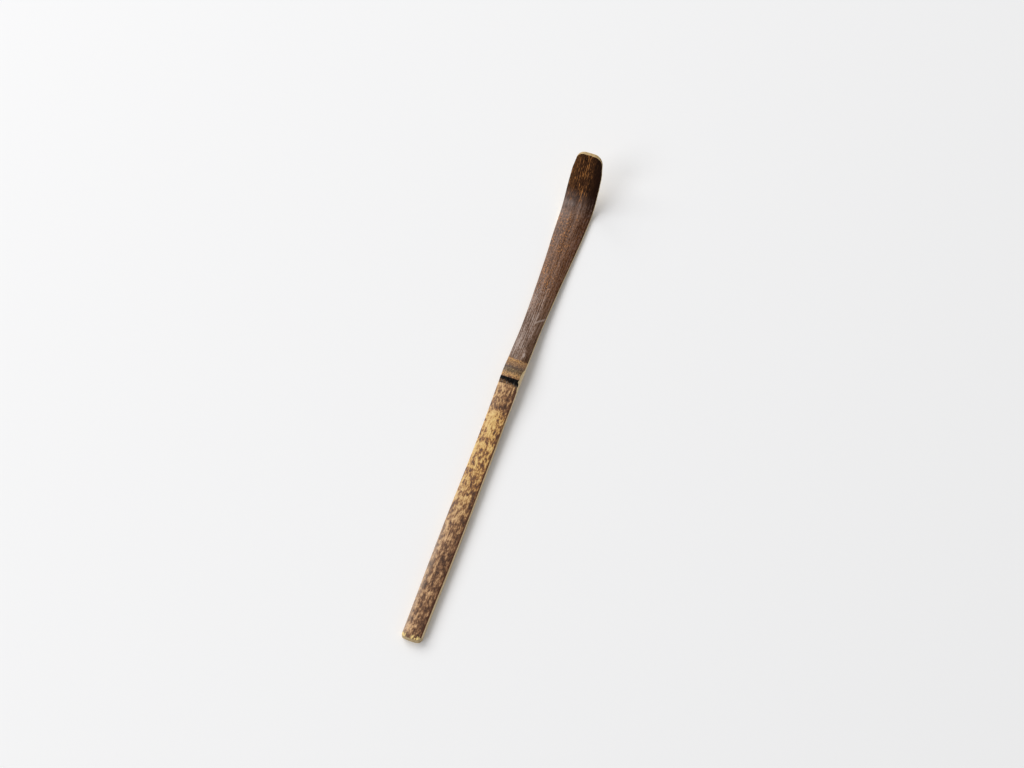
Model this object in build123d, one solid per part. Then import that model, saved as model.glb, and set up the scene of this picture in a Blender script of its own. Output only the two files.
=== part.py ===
from build123d import *
from math import asin, atan2, cos, degrees, radians, sin, sqrt, tan
import os

# A bamboo tea scoop, lying skin side up on a table, 183 mm long when laid straight.
# +X runs from the cut grip end to the scoop tip, +Y is the left edge seen from the grip, +Z is up.
# The origin is the middle of the scoop's own box, at table height.
# The strip is split from a culm, so its skin is an arc across the strip.

# Culm that the strip is split from
culm_radius = 24.0
rind_thickness = 0.4

# Side view: corners of the skin line, and the radii that ease them
grip_thickness = 3.1
rise_before_node = 32.5
rise_ease_radius = 300.0
throat_before_node = 8.0
throat_height = 3.76
throat_ease_radius = 50.0
node_height = 4.75
node_ease_radius = 35.0
neck_height = 2.95
neck_ease_radius = 200.0
heel_past_node = 49.45
heel_thickness = 1.8
heel_ease_radius = 260.0
bend_past_heel = 20.4
bend_angle = 46.0
bend_radius = 8.0
blade_rise = 9.4
blade_turn = 8.0
blade_ease_radius = 50.0
blade_reach = 11.35
tip_thickness = 1.15

# Underside: two flat rests, a straight planed arch between them, and the hollow under the node
fore_rest_length = 9.0
rest_ease_radius = 200.0
arch_height = 2.1
arch_ease_radius = 250.0
hollow_height = 2.2
hollow_radius = 170.0

# Two facets planed along the grip's lower edges, which run out before the hollow
facet_half_width = 3.15
facet_past_rest = 22.0
facet_runout_length = 16.0
facet_runout_angle = 3.0

# Plan view: half widths of the skin, and how far each lies from the end, node, heel, bend or tip
grip_end_half_width = 3.1
grip_half_width = 3.42
grip_widest_at = 34.0
waist_half_width = 3.3
waist_before_node = 24.0
node_half_width = 3.5
neck_half_width = 3.35
neck_past_node = 18.0
flare_half_width = 3.78
flare_before_heel = 14.5
heel_half_width = 4.47
bend_half_width = 5.1
width_before_bend = 6.0
blade_half_width = 5.5
blade_widest_from_tip = 15.9
tip_half_width = 5.25
tip_width_from_tip = 5.9
node_shift = 0.08
blade_shift = 0.2
side_flare = 0.26

# Cut ends
grip_end_bow = 0.3
grip_corner_left = 0.8
grip_corner_right = 1.5
tip_end_bow = 0.45
tip_corner_left = 2.5
tip_corner_right = 3.2
tip_bevel = 0.7

# Node: the sheath scar with its ledge, then the swelling of the node itself
scar_start = 91.3
scar_length = 2.5
scar_groove_length = 1.3
scar_groove_depth = 0.2
scar_ledge_length = 1.2
scar_ledge_height = 0.3
node_length = 6.9
node_swell_length = 6.0
node_swell_height = 0.38

# Round scallop pared off the right upper edge beside the scar
paring_length = 12.0
paring_depth = 0.52
paring_tilt = 35.0

# Groove that a branch bud leaves along the skin above the node
bud_groove_radius = 6.0
bud_groove_depth = 0.16

# Overrun of cutting shapes past what they cut
overrun = 2.0

core_radius = culm_radius - rind_thickness
scar_end = scar_start + scar_length
node_end = scar_end + node_length
node_middle = (scar_start + node_end) / 2
node_at = (scar_start + scar_end) / 2
rise_at = node_at - rise_before_node
throat_at = node_at - throat_before_node
neck_at = node_middle + neck_past_node
heel_at = node_at + heel_past_node
bend_at = heel_at + bend_past_heel
bend_start = bend_at - bend_radius * tan(radians(bend_angle / 2))
blade_pitch = bend_angle + blade_turn
blank_half_width = blade_half_width + blade_shift + overrun


def polar(length, angle):
    return Vector(length * cos(radians(angle)), length * sin(radians(angle)))


grip_top = Vector(0, grip_thickness)
rise_top = Vector(rise_at, grip_thickness)
throat_top = Vector(throat_at, throat_height)
node_top = Vector(node_at, node_height)
neck_top = Vector(neck_at, neck_height)
heel_top = Vector(heel_at, heel_thickness)
bend_top = Vector(bend_at, heel_thickness)
blade_top = bend_top + polar(blade_rise, bend_angle)
tip_top = blade_top + polar(blade_reach, blade_pitch)


def skin_path():
    """Line of the skin in side view, as straight runs eased by arcs, run on past both ends."""
    start = grip_top - Vector(overrun, 0)
    finish = tip_top + polar(overrun, blade_pitch)
    tops = [rise_top, throat_top, node_top, neck_top, heel_top, bend_top, blade_top]
    corners = [start, *tops, finish]
    node_radii = [rise_ease_radius, throat_ease_radius, node_ease_radius, neck_ease_radius]
    radii = [*node_radii, heel_ease_radius, bend_radius, blade_ease_radius]
    return Wire((Plane.XZ * FilletPolyline(*corners, radius=radii)).edges())


skin_line = skin_path()
strip_length = skin_line.length - 2 * overrun
blade_widest_at = strip_length - blade_widest_from_tip


def across(distance):
    """Plane square to the strip at a distance from the grip end: x across, y out of the skin."""
    place = distance + overrun
    point = skin_line.position_at(place, position_mode=PositionMode.LENGTH)
    heading = skin_line.tangent_at(place, position_mode=PositionMode.LENGTH)
    return Plane(origin=point, x_dir=(0, 1, 0), z_dir=heading)


def along(distance):
    """Plane of the side view at a distance from the grip end: x along the strip, y out of the skin."""
    section = across(distance)
    return Plane(origin=section.origin, x_dir=section.z_dir, z_dir=(0, -1, 0))


def culm_arc(radius, shares):
    """Points of an arc about the culm's centre, at shares of the blank's half width."""
    spread = asin(blank_half_width / core_radius)
    angles = [spread * share for share in shares]
    return [Vector(radius * sin(angle), radius * cos(angle) - culm_radius) for angle in angles]


def skin_layer():
    """Skin swept along the strip, wider than the strip."""
    outer = culm_arc(culm_radius, (-1, 0, 1))
    inner = culm_arc(core_radius, (1, 0, -1))
    sides = [Line(outer[2], inner[0]), Line(inner[2], outer[0])]
    section = make_face([ThreePointArc(*outer), ThreePointArc(*inner), *sides])
    return sweep(across(-overrun) * section, path=skin_line)


def flesh_layer():
    """Flesh under the skin swept along the strip, deeper and wider than the strip."""
    top = culm_arc(core_radius, (-1, 0, 1))
    depth = Vector(0, -node_height - overrun)
    low = Polyline(top[2], Vector(top[2].X, depth.Y), Vector(top[0].X, depth.Y), top[0])
    return sweep(across(-overrun) * make_face([ThreePointArc(*top), low]), path=skin_line)


def below(corner, heading, turn, depth):
    """Corner of the underside beneath a corner of the skin line."""
    return corner + polar(depth / cos(radians(turn / 2)), heading + turn / 2 - 90)


def carved_side():
    """Everything above the carved underside: rest, hollow, rest, bend and blade."""
    start = Vector(-overrun, 0)
    grip_rest = Vector(rise_at, 0)
    arch = Vector(node_middle, arch_height)
    fore_rest = Vector(bend_start - fore_rest_length, 0)
    bend_low = below(bend_top, 0, bend_angle, heel_thickness)
    blade_low = below(blade_top, bend_angle, blade_turn, (heel_thickness + tip_thickness) / 2)
    tip_low = tip_top + polar(tip_thickness, blade_pitch - 90) + polar(overrun, blade_pitch)
    corners = [start, grip_rest, arch, fore_rest, bend_low, blade_low, tip_low]
    scoop_radii = [bend_radius + heel_thickness, blade_ease_radius + tip_thickness]
    radii = [rest_ease_radius, arch_ease_radius, rest_ease_radius, *scoop_radii]
    headroom = Vector(0, blade_rise + blade_reach)
    lid = Polyline(tip_low, tip_low + headroom, start + headroom, start)
    outline = make_face([FilletPolyline(*corners, radius=radii), lid])
    return extrude(Plane.XZ * outline, amount=blank_half_width + overrun, both=True)


def node_hollow():
    """Round hollow that is pared across the underside below the node."""
    centre = Vector(node_middle, 0, hollow_height - hollow_radius)
    return Pos(centre) * Rot(90, 0, 0) * Cylinder(hollow_radius, 2 * blank_half_width)


def width_stations():
    """Distance along the strip, half width, and sideways shift of the middle."""
    return [
        (grip_end_bow, grip_end_half_width, 0),
        (grip_widest_at, grip_half_width, 0),
        (node_middle - waist_before_node, waist_half_width, 0),
        (node_middle, node_half_width, node_shift),
        (neck_at, neck_half_width, 0),
        (heel_at - flare_before_heel, flare_half_width, 0),
        (heel_at, heel_half_width, 0),
        (bend_start - width_before_bend, bend_half_width, blade_shift / 2),
        (blade_widest_at, blade_half_width, blade_shift),
    ]


def body_outline(height):
    """Plan outline at a height above the table, from the grip end to past the blade's widest part."""
    flare = side_flare * (1 - height / grip_thickness)
    left, right = [], []
    for distance, half_width, shift in width_stations():
        spread = half_width + flare * (1 - distance / blade_widest_at)
        x = across(distance).origin.X
        left.append(Vector(x, shift + spread))
        right.append(Vector(x, shift - spread))
    past = Vector(left[-1].X + blade_rise, 0)
    end_left = Vector(past.X, left[-1].Y)
    end_right = Vector(past.X, right[-1].Y)
    edges = [
        ThreePointArc(right[0], Vector(0, 0), left[0]),
        Spline(*left, tangents=[(1, 0), (1, 0)]),
        Polyline(left[-1], end_left, end_right, right[-1]),
        Spline(*right, tangents=[(1, 0), (1, 0)]),
    ]
    face = make_face(edges)
    face = fillet(face.vertices().sort_by_distance(right[0])[0], grip_corner_right)
    face = fillet(face.vertices().sort_by_distance(left[0])[0], grip_corner_left)
    return Pos(0, 0, height) * face


def node_paring():
    """Cutter for the round scallop on the right upper edge beside the scar."""
    radius = crown_radius(paring_length, paring_depth)
    right_edge = node_shift - node_half_width
    drop = culm_radius - sqrt(culm_radius**2 - right_edge**2)
    corner = across(scar_end).origin + Vector(0, right_edge, -drop)
    outward = Vector(0, -cos(radians(paring_tilt)), sin(radians(paring_tilt)))
    centre = corner + outward * (radius - paring_depth)
    cutter = Plane(origin=centre, x_dir=(1, 0, 0), z_dir=outward.cross(Vector(1, 0, 0)))
    return cutter * Cylinder(radius, 2 * blank_half_width)


def tip_plane():
    """Plane of the blade's skin at the tip: x towards the tip, y across."""
    tip = across(strip_length)
    return Plane(origin=tip.origin, x_dir=tip.z_dir, z_dir=tip.z_dir.cross(tip.x_dir))


def blade_outline(height):
    """Outline of the blade at a height out of its skin, cut back by the bevel of the tip."""
    cut_back = tip_bevel * (1 + height / tip_thickness)
    widest = Vector(-blade_widest_from_tip, blade_half_width)
    side = Vector(-tip_width_from_tip, tip_half_width)
    corner = Vector(-tip_end_bow - cut_back, tip_half_width - tip_end_bow)
    left = [widest, side, corner]
    right = [Vector(point.X, -point.Y) for point in left]
    behind = Vector(-blade_rise, 0)
    tip = Vector(-cut_back, 0)
    edges = [
        Spline(*left, tangents=[(1, 0), left[2] - left[1]]),
        ThreePointArc(left[-1], tip, right[-1]),
        Spline(*right, tangents=[(1, 0), right[2] - right[1]]),
        Polyline(left[0], left[0] + behind, right[0] + behind, right[0]),
    ]
    face = make_face(edges)
    face = fillet(face.vertices().sort_by_distance(left[-1])[0], tip_corner_left)
    face = fillet(face.vertices().sort_by_distance(right[-1])[0], tip_corner_right)
    return tip_plane() * Pos(0, blade_shift, height) * face


def strip_outline():
    """Walls of the whole strip: the drafted sides up to the bend, then the blade square to its skin."""
    joint = across(blade_widest_at)
    top = joint.origin.Z + overrun
    body = loft([body_outline(-overrun), body_outline(top)], ruled=True)
    blade = loft([blade_outline(-tip_thickness - overrun), blade_outline(overrun)], ruled=True)
    body = split(body, bisect_by=joint, keep=Keep.BOTTOM)
    blade = split(blade, bisect_by=joint, keep=Keep.TOP)
    return body + blade - node_paring()


def culm_ring(middle, profile):
    """Ring about the culm at a distance from the grip end, from a profile in the side view."""
    plane = along(middle)
    axis = Axis(plane.origin - plane.y_dir * culm_radius, plane.x_dir)
    return revolve(plane * profile, axis=axis)


def crown_radius(length, height):
    """Radius of the arc that stands out by a height over a length."""
    return (length**2 / 4 + height**2) / (2 * height)


def swelling(middle, length, height):
    """Ring with a rounded crown, sunk halfway into the skin."""
    sink = rind_thickness / 2
    radius = crown_radius(length, height)
    reach = sqrt(radius**2 - (radius - height - sink) ** 2)
    ends = [Vector(-reach, -sink), Vector(reach, -sink)]
    profile = make_face([ThreePointArc(ends[0], (0, height), ends[1]), Line(ends[1], ends[0])])
    return culm_ring(middle, profile)


def channel(middle, length, depth):
    """Cutter for a round-bottomed ring groove."""
    radius = crown_radius(length, depth)
    return culm_ring(middle, Pos(0, radius - depth) * Circle(radius))


def ringed_skin(skin, walls):
    """Skin with the scar's groove and ledge, and the swelling of the node."""
    groove = channel(scar_start + scar_groove_length / 2, scar_groove_length, scar_groove_depth)
    ledge = swelling(scar_end - scar_ledge_length / 2, scar_ledge_length, scar_ledge_height)
    swell = swelling((scar_end + node_end) / 2, node_swell_length, node_swell_height)
    return skin - groove + (ledge & walls) + (swell & walls)


def edge_facet(side):
    """Cutter that planes a slanting facet along one lower edge of the grip."""
    start = Vector(-overrun, 0)
    grip_rest = Vector(rise_at, 0)
    rise = degrees(atan2(arch_height, node_middle - rise_at))
    leave = grip_rest + polar(facet_past_rest, rise)
    runout = leave + polar(facet_runout_length, -facet_runout_angle)
    route = FilletPolyline(start, grip_rest, leave, runout, radius=rest_ease_radius)
    path = Wire((Plane.XZ * route).edges())
    inner = facet_half_width - overrun
    outer = blank_half_width
    corners = [(inner, -overrun), (outer, -overrun), (outer, outer - facet_half_width)]
    section = make_face(Polyline(*[(side * x, y) for x, y in corners], close=True))
    return sweep(Plane(origin=path @ 0, x_dir=(0, 1, 0), z_dir=path % 0) * section, path=path)


def culm_wood(walls):
    """Pale flesh of the culm, carved hollow under the node and thinned into the blade."""
    wood = (walls & flesh_layer() & carved_side()) - node_hollow()
    return wood - edge_facet(1) - edge_facet(-1)


def bud_groove():
    """Cutter for the shallow round groove along the skin, from the node to the tip."""
    section = Pos(0, bud_groove_radius - bud_groove_depth) * Circle(bud_groove_radius)
    return sweep(across(-overrun) * section, path=skin_line)


def before(layer, distance):
    """Grip's side of a layer."""
    return split(layer, bisect_by=across(distance), keep=Keep.BOTTOM)


def after(layer, distance):
    """Tip's side of a layer."""
    return split(layer, bisect_by=across(distance), keep=Keep.TOP)


def build():
    walls = strip_outline()
    skin = ringed_skin(walls & skin_layer(), walls)
    parts = {
        "culm_wood": culm_wood(walls),
        "grip_rind": before(skin, scar_start),
        "sheath_scar": before(after(skin, scar_start), scar_end),
        "node_ridge": before(after(skin, scar_end), node_end),
        "scoop_rind": after(skin, node_end) - bud_groove(),
    }
    box = Compound(list(parts.values())).bounding_box()
    middle = box.center()
    home = Pos(-middle.X, -middle.Y, -box.min.Z)
    os.makedirs("parts", exist_ok=True)
    for name, part in parts.items():
        export_step(home * part, f"parts/{name}.step")
    print("laid straight:", round(strip_length, 1), "mm")
    print("box:", [round(side, 2) for side in box.size])


build()
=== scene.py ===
import math
import bmesh
import bpy
from mathutils import Matrix, Vector, noise


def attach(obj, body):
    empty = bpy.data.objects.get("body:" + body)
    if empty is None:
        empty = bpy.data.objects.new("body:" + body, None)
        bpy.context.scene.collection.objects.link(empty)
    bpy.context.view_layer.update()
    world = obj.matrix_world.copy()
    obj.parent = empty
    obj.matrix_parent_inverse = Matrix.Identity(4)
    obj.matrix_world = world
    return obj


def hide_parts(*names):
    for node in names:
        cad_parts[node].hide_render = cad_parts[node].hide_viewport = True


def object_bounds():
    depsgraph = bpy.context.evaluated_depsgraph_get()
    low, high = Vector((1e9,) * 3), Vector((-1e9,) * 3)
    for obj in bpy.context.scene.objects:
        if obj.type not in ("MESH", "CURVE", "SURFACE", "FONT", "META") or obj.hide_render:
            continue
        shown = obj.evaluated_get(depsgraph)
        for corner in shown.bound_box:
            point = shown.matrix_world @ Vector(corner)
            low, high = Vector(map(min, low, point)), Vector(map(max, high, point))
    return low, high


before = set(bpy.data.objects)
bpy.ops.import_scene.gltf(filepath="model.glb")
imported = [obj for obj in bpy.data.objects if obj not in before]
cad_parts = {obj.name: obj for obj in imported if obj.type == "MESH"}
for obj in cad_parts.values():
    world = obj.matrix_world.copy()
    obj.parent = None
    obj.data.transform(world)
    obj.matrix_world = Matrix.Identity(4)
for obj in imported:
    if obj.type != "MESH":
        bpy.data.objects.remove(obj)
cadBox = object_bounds()

# A bamboo tea scoop, lying skin side up. Every piece of the frame gets a finely carved one in its
# place. Places on the strip are told by three numbers: how far along it from the grip end, how far
# across to the left of its middle, and how deep under the skin. Each piece keeps them, in
# millimetres, in an attribute called strip, and how far in from the skin's outline in one called
# edge. Its material reads both.

mm = 0.001

# the skin's line in side view: straight runs, eased by arcs
skinLine = dict(
    gripThickness=3.1 * mm,
    riseAt=60.05 * mm,
    throatAt=84.55 * mm,
    throatHeight=3.76 * mm,
    nodeAt=92.55 * mm,
    nodeHeight=4.75 * mm,
    neckAt=114.0 * mm,
    neckHeight=2.95 * mm,
    heelAt=142.0 * mm,
    heelThickness=1.8 * mm,
    bendAt=162.4 * mm,
    bendAngle=math.radians(46),
    bladeRise=9.4 * mm,
    bladeTurn=math.radians(8),
    bladeReach=11.35 * mm,
    tipThickness=1.15 * mm,
    riseEase=300 * mm,
    throatEase=50 * mm,
    nodeEase=35 * mm,
    neckEase=200 * mm,
    heelEase=260 * mm,
    bendEase=8 * mm,
    bladeEase=50 * mm,
)

# the underside: two rests, the arch between them, and the hollow under the node
underLine = dict(
    foreRest=9 * mm,
    restEase=200 * mm,
    archHeight=2.1 * mm,
    archEase=250 * mm,
    hollowHeight=2.2 * mm,
    hollowRadius=170 * mm,
)

# the node, from the lower edge of the black scar to the upper internode
node = dict(
    scarStart=91.3 * mm,
    scarEnd=93.8 * mm,
    end=100.7 * mm,
    grooveLength=1.3 * mm,
    grooveDepth=0.2 * mm,
    ledgeLength=1.2 * mm,
    ledgeHeight=0.3 * mm,
    swellLength=6.0 * mm,
    swellHeight=0.38 * mm,
    halfWidth=3.5 * mm,
    shift=0.08 * mm,
    # how far its rings waver, and over what width
    waver=0.22 * mm,
    waverWidth=1.4 * mm,
    # length, width and pattern of the ledge's notches, and the same after the depth of the pimples
    notches=(3 * mm, 0.45 * mm, 17.5),
    pimples=(0.05 * mm, 1.1 * mm, 0.9 * mm, 21.0),
    pimpleReach=9 * mm,
)
node["middle"] = (node["scarStart"] + node["end"]) / 2

# the culm that the strip was split from, and the edges that the knife left
culm = dict(
    radius=24 * mm,
    rind=0.4 * mm,
    skinEdge=0.2 * mm,
    lowerEdge=0.14 * mm,
    sharpAngle=math.radians(38),
    # the groove above the node, past which it is whole, and the crease along its bottom
    budRadius=6.0 * mm,
    budDepth=0.1 * mm,
    budFrom=-1 * mm,
    budWhole=4 * mm,
    creaseAt=-0.15 * mm,
    creaseDepth=0.04 * mm,
    creaseWidth=0.16 * mm,
    creaseFades=(154 * mm, 166 * mm),
    # the sides, the two facets under the grip, and the scallop beside the scar
    sideFlare=0.26 * mm,
    facetHalfWidth=3.15 * mm,
    facetLength=82 * mm,
    facetSlope=math.tan(math.radians(6.2)),
    wornCrest=0.06 * mm,
    pareLength=10.0 * mm,
    pareDepth=0.52 * mm,
    pareTilt=math.radians(35),
    pareBack=0.5 * mm,
)

# unevenness of the skin and strokes of the tools: how deep, how long, how wide, and which pattern
skinWaves = [
    (0.018 * mm, 11 * mm, 1.9 * mm, 3.1),
    (0.010 * mm, 16 * mm, 0.5 * mm, 8.4),
    (0.005 * mm, 1.4 * mm, 0.8 * mm, 5.7),
]
toolStrokes = [
    (0.020 * mm, 34 * mm, 0.9 * mm, 31.0),
    (0.006 * mm, 9 * mm, 0.25 * mm, 37.0),
]

# the two cut ends
cutEnds = dict(
    gripBow=0.3 * mm,
    gripLeft=0.8 * mm,
    gripRight=1.5 * mm,
    tipBow=0.45 * mm,
    tipLeft=2.5 * mm,
    tipRight=3.2 * mm,
    tipBevel=0.7 * mm,
    ease=9 * mm,
)


class EasedLine:
    # straight runs with an arc at each inner corner, walked by distance
    def __init__(self, corners, radii):
        self.runs = []
        pen, self.length = corners[0], 0.0
        for index in range(1, len(corners)):
            heading = math.atan2(*reversed(corners[index] - corners[index - 1]))
            turn = 0.0
            if index < len(corners) - 1:
                turn = math.atan2(*reversed(corners[index + 1] - corners[index])) - heading
            radius = radii[index - 1] if turn else 0.0
            cut = radius * math.tan(abs(turn) / 2)
            arcStart = corners[index] - Vector((math.cos(heading), math.sin(heading))) * cut
            self.addRun((arcStart - pen).length, pen, heading, 0.0)
            pen = arcStart
            if turn:
                self.addRun(abs(turn) * radius, arcStart, heading, math.copysign(1 / radius, turn))
                pen = self.at(self.length)[0]

    def addRun(self, length, start, heading, curve):
        self.runs.append((self.length, start, heading, curve))
        self.length += length

    def at(self, distance):
        # the point, as x and z, and the heading there
        reached = [run for run in self.runs if run[0] <= max(distance, 0.0)]
        begun, start, heading, curve = reached[-1]
        walked = distance - begun
        if not curve:
            return start + Vector((math.cos(heading), math.sin(heading))) * walked, heading
        turned = heading + curve * walked
        shift = Vector((math.sin(turned) - math.sin(heading), math.cos(heading) - math.cos(turned)))
        return start + shift / curve, turned


def polar(length, angle):
    return Vector((math.cos(angle), math.sin(angle))) * length


def skinCorners():
    bend = Vector((skinLine["bendAt"], skinLine["heelThickness"]))
    blade = bend + polar(skinLine["bladeRise"], skinLine["bendAngle"])
    tip = blade + polar(skinLine["bladeReach"], skinLine["bendAngle"] + skinLine["bladeTurn"])
    grip = Vector((0, skinLine["gripThickness"]))
    rise = Vector((skinLine["riseAt"], skinLine["gripThickness"]))
    throat = Vector((skinLine["throatAt"], skinLine["throatHeight"]))
    top = Vector((skinLine["nodeAt"], skinLine["nodeHeight"]))
    neck = Vector((skinLine["neckAt"], skinLine["neckHeight"]))
    heel = Vector((skinLine["heelAt"], skinLine["heelThickness"]))
    return [grip, rise, throat, top, neck, heel, bend, blade, tip]


innerCorners = ("rise", "throat", "node", "neck", "heel", "bend", "blade")
skin = EasedLine(skinCorners(), [skinLine[corner + "Ease"] for corner in innerCorners])
bendStart = skinLine["bendAt"] - skinLine["bendEase"] * math.tan(skinLine["bendAngle"] / 2)
bendEnd = bendStart + skinLine["bendEase"] * skinLine["bendAngle"]
under = EasedLine(
    [
        Vector((0, 0)),
        Vector((skinLine["riseAt"], 0)),
        Vector((node["middle"], underLine["archHeight"])),
        Vector((bendStart - underLine["foreRest"], 0)),
        Vector((skinLine["bendAt"], 0)),
    ],
    [underLine["restEase"], underLine["archEase"], underLine["restEase"]],
)

# half widths of the skin and sideways shifts of its middle, at distances along the strip
bladeShift = 0.2 * mm
towardsNode = node["middle"] - 24 * mm
towardsBend = bendStart - 6 * mm
widest = skin.length - 15.9 * mm
halfWidths = [
    (0.3 * mm, 3.1 * mm),
    (34 * mm, 3.42 * mm),
    (towardsNode, 3.3 * mm),
    (node["middle"], node["halfWidth"]),
    (skinLine["neckAt"], 3.35 * mm),
    (127.5 * mm, 3.78 * mm),
    (skinLine["heelAt"], 4.47 * mm),
    (towardsBend, 5.1 * mm),
    (widest, 5.495 * mm),
    (skin.length - 5.9 * mm, 5.25 * mm),
    (skin.length - 1.0 * mm, 4.84 * mm),
    (skin.length, 4.7 * mm),
]
shifts = [
    (0.0, 0.0),
    (towardsNode, 0.0),
    (node["middle"], node["shift"]),
    (skinLine["neckAt"], 0.0),
    (skinLine["heelAt"], 0.0),
    (towardsBend, bladeShift / 2),
    (widest, bladeShift),
    (skin.length, bladeShift),
]
# where the grip end lies, a hair inside the CAD box
home = Vector((cadBox[0].x + 0.0015 * mm, -bladeShift - 0.002 * mm, 0.0))


def eased(stations, distance):
    # smooth curve through the stations, level at its first
    slopes = [0.0]
    for (before, low), (after, high) in zip(stations, stations[2:]):
        slopes.append((high - low) / (after - before))
    slopes.append((stations[-1][1] - stations[-2][1]) / (stations[-1][0] - stations[-2][0]))
    distance = min(max(distance, stations[0][0]), stations[-1][0])
    spans = zip(stations, stations[1:], slopes, slopes[1:])
    start, end, rise, fall = [span for span in spans if span[0][0] <= distance][-1]
    length = end[0] - start[0]
    share = (distance - start[0]) / length
    lift = start[1] * (1 + 2 * share) * (1 - share) ** 2 + end[1] * share**2 * (3 - 2 * share)
    return lift + length * share * (1 - share) * (rise * (1 - share) - fall * share)


def softStep(value, low, high):
    share = min(max((value - low) / (high - low), 0.0), 1.0)
    return share * share * (3 - 2 * share)


def woodThickness(distance):
    # from the skin's crown to the underside, square to the strip
    place, heading = skin.at(distance)
    if distance > bendStart:
        share = max(distance - bendEnd, 0.0) / (skin.length - bendEnd)
        heel, tip = skinLine["heelThickness"], skinLine["tipThickness"]
        return heel + (tip - heel) * share
    low = under.at(place.x)[0].y
    reach = underLine["hollowRadius"] ** 2 - (place.x - node["middle"]) ** 2
    hollow = underLine["hollowHeight"] - underLine["hollowRadius"] + math.sqrt(max(reach, 0.0))
    return (place.y - max(low, hollow)) / math.cos(heading)


def ripple(distance, across, length, width, seed):
    # smooth unevenness, about -1 to 1
    return noise.noise(Vector((distance / length, across / width, seed)))


def ripples(distance, across, waves):
    return sum(depth * ripple(distance, across, *pattern) for depth, *pattern in waves)


def hump(value, reach):
    # round top of a ring, 1 in the middle and 0 from its reach on
    return max(0.0, 1 - (value / reach) ** 2)


def skinRelief(distance, across):
    # how far the skin stands out from the plain culm
    rise = ripples(distance, across, skinWaves)
    place = distance + node["waver"] * ripple(0, across, 1, node["waverWidth"], 12.2)
    near = hump(distance - node["middle"], node["pimpleReach"])
    if near:
        pimple, *pattern = node["pimples"]
        rise += pimple * near * ripple(distance, across, *pattern)
        groove = node["scarStart"] + node["grooveLength"] / 2
        ledge = node["scarEnd"] - node["ledgeLength"] / 2
        swell = (node["scarEnd"] + node["end"]) / 2
        rise -= node["grooveDepth"] * hump(place - groove, node["grooveLength"] / 2) ** 0.8
        ragged = 0.75 + 0.5 * ripple(distance, across, *node["notches"])
        rise += node["ledgeHeight"] * ragged * hump(place - ledge, node["ledgeLength"] / 2)
        rise += node["swellHeight"] * hump(distance - swell, node["swellLength"] / 2)
    bud = softStep(distance, node["end"] + culm["budFrom"], node["end"] + culm["budWhole"])
    sunk = culm["budDepth"] - across**2 * (0.5 / culm["budRadius"] + 0.5 / culm["radius"])
    crease = math.exp(-((across - culm["creaseAt"]) / culm["creaseWidth"]) ** 2)
    crease *= culm["creaseDepth"] * (1 - softStep(distance, *culm["creaseFades"]))
    return rise - bud * (max(sunk, 0.0) + crease)


def rolled(edgeGap, radius):
    # how far a rounded edge has dropped at a gap from its outline
    if edgeGap >= radius:
        return 0.0
    return radius - math.sqrt(max(radius**2 - (radius - max(edgeGap, 0.0)) ** 2, 0.0))


def endFall(across, half, bow, corner):
    # how far an end's outline has fallen back at a place across it, and its slope there
    share = min(abs(across) / half, 1.0)
    fall, slope = bow * share**2, 2 * bow * share / half
    past = abs(across) - (half - corner)
    if past > 0:
        reach = math.sqrt(max(corner**2 - past**2, (0.01 * mm) ** 2))
        fall += corner - reach
        slope += past / reach
    return fall, slope


# the scallop pared off the right edge beside the scar
pareRadius = (culm["pareLength"] ** 2 / 4 + culm["pareDepth"] ** 2) / (2 * culm["pareDepth"])
pareOut = Vector((0, -math.cos(culm["pareTilt"]), math.sin(culm["pareTilt"])))


def pareCentre():
    edge = node["shift"] - node["halfWidth"]
    place = skin.at(node["scarEnd"] - culm["pareBack"])[0]
    drop = culm["radius"] - math.sqrt(culm["radius"] ** 2 - edge**2)
    corner = Vector((place.x, edge, place.y - drop))
    return corner + pareOut * (pareRadius - culm["pareDepth"])


pareMiddle = pareCentre()


def pared(point):
    # a point in the pared scallop falls back to its surface
    offset = point - pareMiddle
    flat = Vector((offset.x, offset.dot(pareOut)))
    if flat.length >= pareRadius or abs(flat.x) > culm["pareLength"]:
        return point
    back = -math.sqrt(pareRadius**2 - flat.x**2) - flat.y
    return point + pareOut * back


def runsAlong(edge, axis):
    first, second = edge.verts
    return abs((second.co - first.co)[axis]) > 1e-4


def latticeBox(rows, columns, layers):
    # box of quads from 0 to 1 each way: x along the strip, y right to left, z down from the skin
    shell = bmesh.new()
    bmesh.ops.create_cube(shell, size=1.0)
    bmesh.ops.translate(shell, verts=shell.verts, vec=(0.5, 0.5, 0.5))
    for axis, parts in enumerate((rows, columns, layers)):
        rungs = [edge for edge in shell.edges if runsAlong(edge, axis)]
        bmesh.ops.subdivide_edges(shell, edges=rungs, cuts=parts - 1, use_grid_fill=True)
    return shell


def crowded(share, atStart, atEnd):
    # rows stand closer together towards a cut end
    closeness = 0.08
    if atStart and atEnd:
        half = crowded(min(share, 1 - share) * 2, True, False) / 2
        return half if share < 0.5 else 1 - half
    if atEnd:
        return 1 - crowded(1 - share, True, False)
    if not atStart:
        return share
    if share < closeness:
        return share**2 / (closeness * (2 - closeness))
    return (2 * share - closeness) / (2 - closeness)


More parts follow.
